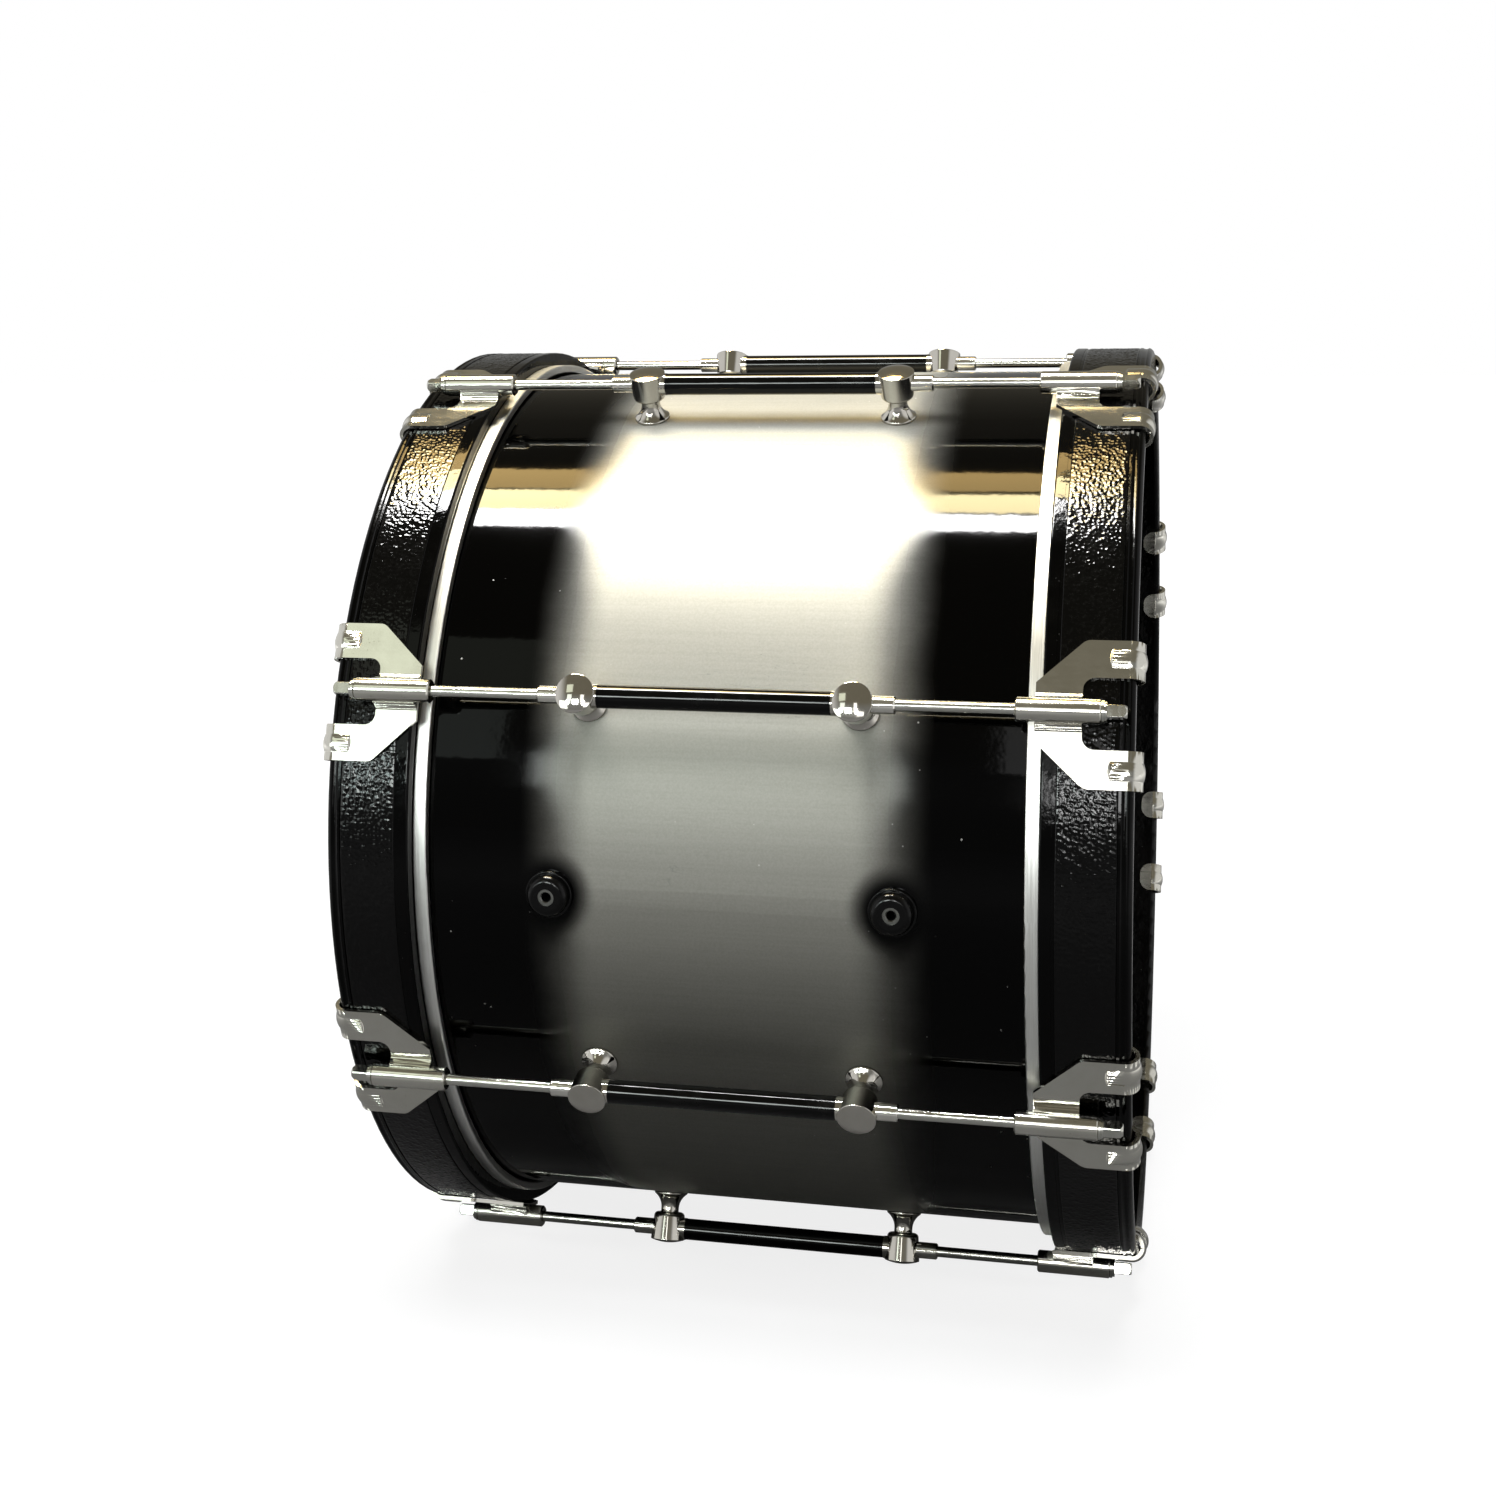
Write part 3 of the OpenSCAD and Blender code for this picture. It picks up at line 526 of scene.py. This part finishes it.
for side, sign in SIDES.items():
    inlay(side, sign)


# The lug posts as turned pieces: a coved foot, a waist and a full barrel that widens to its domed end

def arc(centre, radius, start, end, steps):
    """Points of an arc from one angle to another, in degrees."""
    turns = [math.radians(start + (end - start) * i / steps) for i in range(steps + 1)]
    return [(centre[0] + radius * math.cos(t), centre[1] + radius * math.sin(t)) for t in turns]


def post_profile():
    """Radius and height above the shell, from the foot's rim to just short of the dome's top."""
    # The cove stops two degrees short of the foot's rim, to leave a narrow flat there
    cove_w, cove_h = POST_FOOT_R - POST_WAIST_R, POST_WAIST_H - POST_FOOT_RIM_H
    cove_r = (cove_w ** 2 + cove_h ** 2) / (2 * cove_w)
    cove_end = 180 + math.degrees(math.asin(cove_h / cove_r)) - 2
    profile = [(POST_FOOT_R, POST_FOOT_RIM_H - POST_CHAMFER), (POST_FOOT_RIM_R, POST_FOOT_RIM_H)]
    profile += arc((POST_WAIST_R + cove_r, POST_WAIST_H), cove_r, cove_end, 180, 12)
    profile += [(POST_WAIST_R, POST_BARREL_H - POST_CHAMFER), (POST_WAIST_R + POST_CHAMFER, POST_BARREL_H)]
    low = (POST_BARREL_R - POST_BARREL_ROUND, POST_BARREL_H + POST_BARREL_ROUND)
    profile += arc(low, POST_BARREL_ROUND, -90, 0, 8)
    profile += arc((POST_END_R - POST_END_BEVEL, POST_RIM_H), POST_END_BEVEL, 0, 70, 4)
    dome_from, dome_steps = POST_RIM_H + POST_END_BEVEL, 10
    for i in range(1, dome_steps):
        share = 1 - i / dome_steps
        profile.append((POST_DOME_R * share, dome_from + (POST_H - dome_from) * (1 - share ** 2)))
    return profile


def post_points(rings):
    """Points of one post as (along the drum, round the drum, above the shell), from its seat to its top."""
    points = [(0, 0, SEAT)]
    for radius, height in rings:
        for i in range(POST_AROUND):
            turn = 2 * math.pi * i / POST_AROUND
            aside = radius * math.sin(turn)
            on_shell = math.sqrt(SHELL_R ** 2 - aside ** 2) - SHELL_R + SEAT
            points.append((radius * math.cos(turn), aside, on_shell if height is None else height))
    return points + [(0, 0, POST_H / 1000)]


def post_faces(first, last, rings):
    faces = []
    for i in range(POST_AROUND):
        k = (i + 1) % POST_AROUND
        faces.append((first, first + 1 + k, first + 1 + i))
        for j in range(rings - 1):
            a = first + 1 + j * POST_AROUND
            b = a + POST_AROUND
            faces.append((a + i, a + k, b + k, b + i))
        top = last - POST_AROUND
        faces.append((top + i, top + k, last))
    return faces


def posts(side, sign):
    """The eight posts of a side; a ring without a height lies on the shell."""
    rings = [(POST_FOOT_R / 2000, None), (POST_FOOT_R / 1000, None)]
    rings += [(radius / 1000, height / 1000) for radius, height in post_profile()]
    along = Vector((1, 0, 0))
    verts, faces = [], []
    for angle in STATIONS:
        out = Vector((0, -math.cos(angle), math.sin(angle)))
        across = out.cross(along)
        first = len(verts)
        for x, aside, height in post_points(rings):
            verts.append(along * (sign * POST_X + x) + across * aside + out * (SHELL_R + height))
        faces += post_faces(first, len(verts) - 1, len(rings))
    piece = add_mesh(f"turned_posts_{side}", verts, faces, "drum_shell", "chrome")
    even_shading(piece)
    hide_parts(f"lug_posts_{side}")


for side, sign in SIDES.items():
    posts(side, sign)


# Floor and backdrop: white to the camera, but dim to the lacquer and plating that would mirror them, with a
# painted shadow on the floor near the drum

FLOOR_REACH = 9.0
FLOOR_GAP = 0.0002
# The floor's light to the camera, from near the drum outwards, and between which distances it changes: the
# lower value near the drum is a painted shadow
FLOOR_SEEN_PAINTED_SHADOW = (0.84, 1.0)
FLOOR_PAINTED_SHADOW_SEEN_AT = (0.45, 1.5)
# The same as it is mirrored: the near value is a painted shadow, and the far one is the dim floor that the
# mirrors see
FLOOR_NEAR_PAINTED_SHADOW = 0.02
FLOOR_FAR = 0.3
FLOOR_PAINTED_SHADOW_MIRRORED_AT = (0.35, 1.8)
# How far to the drum's two ends a direction has to point before it starts to be white, and is white
ENDS = (0.5, 0.8)


def floor_look():
    mat = bpy.data.materials.new("floor_look")
    p = Nodes(mat, "ShaderNodeOutputMaterial", "Object")
    x, y, z = p.split()
    camera_ray, mirrored_ray = p.rays()
    away = p.length(x, y)
    # Painted shadow: to the camera the floor glows less near the drum, by distance alone
    seen = p.fit(away, *FLOOR_PAINTED_SHADOW_SEEN_AT, *FLOOR_SEEN_PAINTED_SHADOW, smooth=True)
    aside = p.math("DIVIDE", p.math("ABSOLUTE", x), p.math("ADD", away, 0.001))
    far = p.math("ADD", FLOOR_FAR, p.fit(aside, *ENDS, 0.0, 1 - FLOOR_FAR, smooth=True))
    # Painted shadow in what mirrors the floor: darkest near the drum, dim further out, white towards the ends
    mirrored = p.fit(away, *FLOOR_PAINTED_SHADOW_MIRRORED_AT, FLOOR_NEAR_PAINTED_SHADOW, far, smooth=True)
    glow_with_painted_shadow = p.fit(camera_ray, 0.0, 1.0, mirrored, seen)
    glow_with_painted_shadow = p.math("MULTIPLY", glow_with_painted_shadow, p.fit(p.noise(60), 0.3, 0.7, 0.995, 1.0))
    both = p.add("ShaderNodeAddShader")
    p.link(p.shader("ShaderNodeBsdfDiffuse", Color=(0.2, 0.2, 0.2)), both.inputs[0])
    p.link(p.shader("ShaderNodeEmission", Strength=glow_with_painted_shadow), both.inputs[1])
    plain = p.shader("ShaderNodeBsdfDiffuse", Color=(0.012, 0.012, 0.012))
    shown = p.choose(p.math("MAXIMUM", camera_ray, mirrored_ray), plain, both.outputs[0])
    p.link(shown, p.out.inputs["Surface"])
    return mat


floor_mesh = bpy.data.meshes.new("floor")
corners = [(-1, -1), (1, -1), (1, 1), (-1, 1)]
floor_mesh.from_pydata([(FLOOR_REACH * x, FLOOR_REACH * y, 0) for x, y in corners], [], [(0, 1, 2, 3)])
floor_mesh.materials.append(floor_look())
floor = bpy.data.objects.new("floor", floor_mesh)
floor.location = (0, 0, cad_box[0][2] - FLOOR_GAP)
scene.collection.objects.link(floor)


def studio():
    """The world: dim soft light, white to the camera, and grey to what mirrors it but white at the ends."""
    world = bpy.data.worlds.new("studio")
    scene.world = world
    w = Nodes(world, "ShaderNodeOutputWorld", "Generated")
    x, y, z = w.split()
    camera_ray, mirrored_ray = w.rays()
    ramp = w.add("ShaderNodeValToRGB")
    w.link(z, ramp.inputs["Fac"])
    low, high = ramp.color_ramp.elements
    low.position, low.color = 0.3, (0.3, 0.3, 0.29, 1)
    high.position, high.color = 0.5, (0.24, 0.22, 0.17, 1)
    ends = w.fit(w.math("ABSOLUTE", x), *ENDS, smooth=True)
    grey = w.shader("ShaderNodeBackground", Color=w.blend(ends, ramp.outputs["Color"], (1, 1, 1)))
    soft = w.shader("ShaderNodeBackground", Strength=w.fit(z, 0.1, 0.9, 0.01, 0.25, smooth=True))
    white = w.shader("ShaderNodeBackground", Color=(1, 1, 1))
    sky = w.choose(camera_ray, w.choose(mirrored_ray, soft, grey), white)
    w.link(sky, w.out.inputs["Surface"])


studio()


# Lamps: one kind lights the drum and isn't mirrored, the other is mirrored by it and gives no soft light

MIDDLE = (0, 0, 0)
UPPER_MIDDLE = (0, 0, 0.1)
LEFT_END = (-0.18, 0, 0)
RIGHT_END = (0.18, 0, 0)
LEFT_CLAWS = (-0.18, 0, 0.1)
RIGHT_CLAWS = (0.18, 0, 0.1)


def lamp(name, place, target, size, radiance, color=(1, 1, 1), soft=False):
    """A rectangular lamp that faces its target, as bright as radiance: soft, or else only mirrored."""
    data = bpy.data.lights.new(name, "AREA")
    data.shape = "RECTANGLE"
    data.size, data.size_y = size
    data.energy = radiance * math.pi * size[0] * size[1]
    data.color = color
    obj = bpy.data.objects.new(name, data)
    obj.location = place
    back = (Vector(place) - Vector(target)).normalized()
    up = back.cross(Vector((1, 0, 0))).normalized()
    obj.rotation_euler = Matrix((up.cross(back), up, back)).transposed().to_euler()
    obj.visible_diffuse = soft
    obj.visible_glossy = not soft
    scene.collection.objects.link(obj)


lamp("key_strip", (-0.44, -0.275, 1.95), UPPER_MIDDLE, (0.95, 0.19), 170)
lamp("warm_strip", (-0.4, -0.06, 1.97), UPPER_MIDDLE, (1.0, 0.22), 110, (1.0, 0.84, 0.46))
lamp("amber_strip", (-0.4, 0.2, 1.97), UPPER_MIDDLE, (1.1, 0.24), 30, (1.0, 0.68, 0.26))
lamp("top_soft", (-0.1, -0.77, 2.15), MIDDLE, (1.6, 1.0), 11.5, soft=True)
lamp("front_window", (-0.7, -3.0, 0.78), MIDDLE, (0.62, 0.45), 36, (0.93, 1.0, 0.97))
lamp("claw_window_right", (0.025, -3.0, 1.27), RIGHT_CLAWS, (0.34, 0.6), 2.6)
lamp("claw_window_left", (-1.35, -2.79, 1.17), LEFT_CLAWS, (0.5, 0.65), 2.0, (0.9, 1.0, 0.93))
lamp("claw_window_high", (-1.2, -2.03, 1.72), LEFT_CLAWS, (0.6, 0.7), 1.2, (0.92, 1.0, 0.84))
lamp("left_window", (-1.95, -2.7, 0.4), MIDDLE, (1.0, 0.8), 3.2, (0.94, 1.0, 0.97))
lamp("right_window", (0.55, -3.2, 0.5), MIDDLE, (0.7, 0.5), 3.2)
lamp("sparkle_right", (0.1, -3.0, 0.72), RIGHT_CLAWS, (0.26, 0.4), 34)
lamp("sparkle_left", (-1.6, -3.0, 0.75), LEFT_CLAWS, (0.36, 0.4), 28, (0.84, 1.0, 0.97))
lamp("left_soft", (-3.2, -0.1, 0.3), LEFT_END, (0.6, 0.6), 60, soft=True)
lamp("right_soft", (3.2, -0.1, 0.3), RIGHT_END, (0.6, 0.6), 60, soft=True)
lamp("back_soft", (0.3, 2.6, 1.4), MIDDLE, (1.2, 0.8), 8, soft=True)


# The camera that was fitted to the photograph: metres, degrees and millimetres

EYE = (0.2386, -1.2281, 0.3213)
YAW, PITCH, ROLL = (math.radians(a) for a in (12.99, -8.30, 1.04))
# Columns of the turned frame: to the right, into the picture and upwards
right, forward, upward = (Matrix.Rotation(YAW, 3, "Z") @ Matrix.Rotation(PITCH, 3, "X")
                          @ Matrix.Rotation(ROLL, 3, "Y")).col
camera_data = bpy.data.cameras.new("photo_view")
camera_data.sensor_width = 36
camera_data.lens = 49.19
camera_data.shift_x = 0.00644
camera_data.shift_y = -0.1247
camera_data.clip_start = 0.05
camera_data.clip_end = 60
camera = bpy.data.objects.new("photo_view", camera_data)
camera.matrix_world = Matrix.Translation(EYE) @ Matrix((right, upward, -forward)).transposed().to_4x4()
scene.collection.objects.link(camera)
scene.camera = camera

scene.view_settings.view_transform = "Standard"
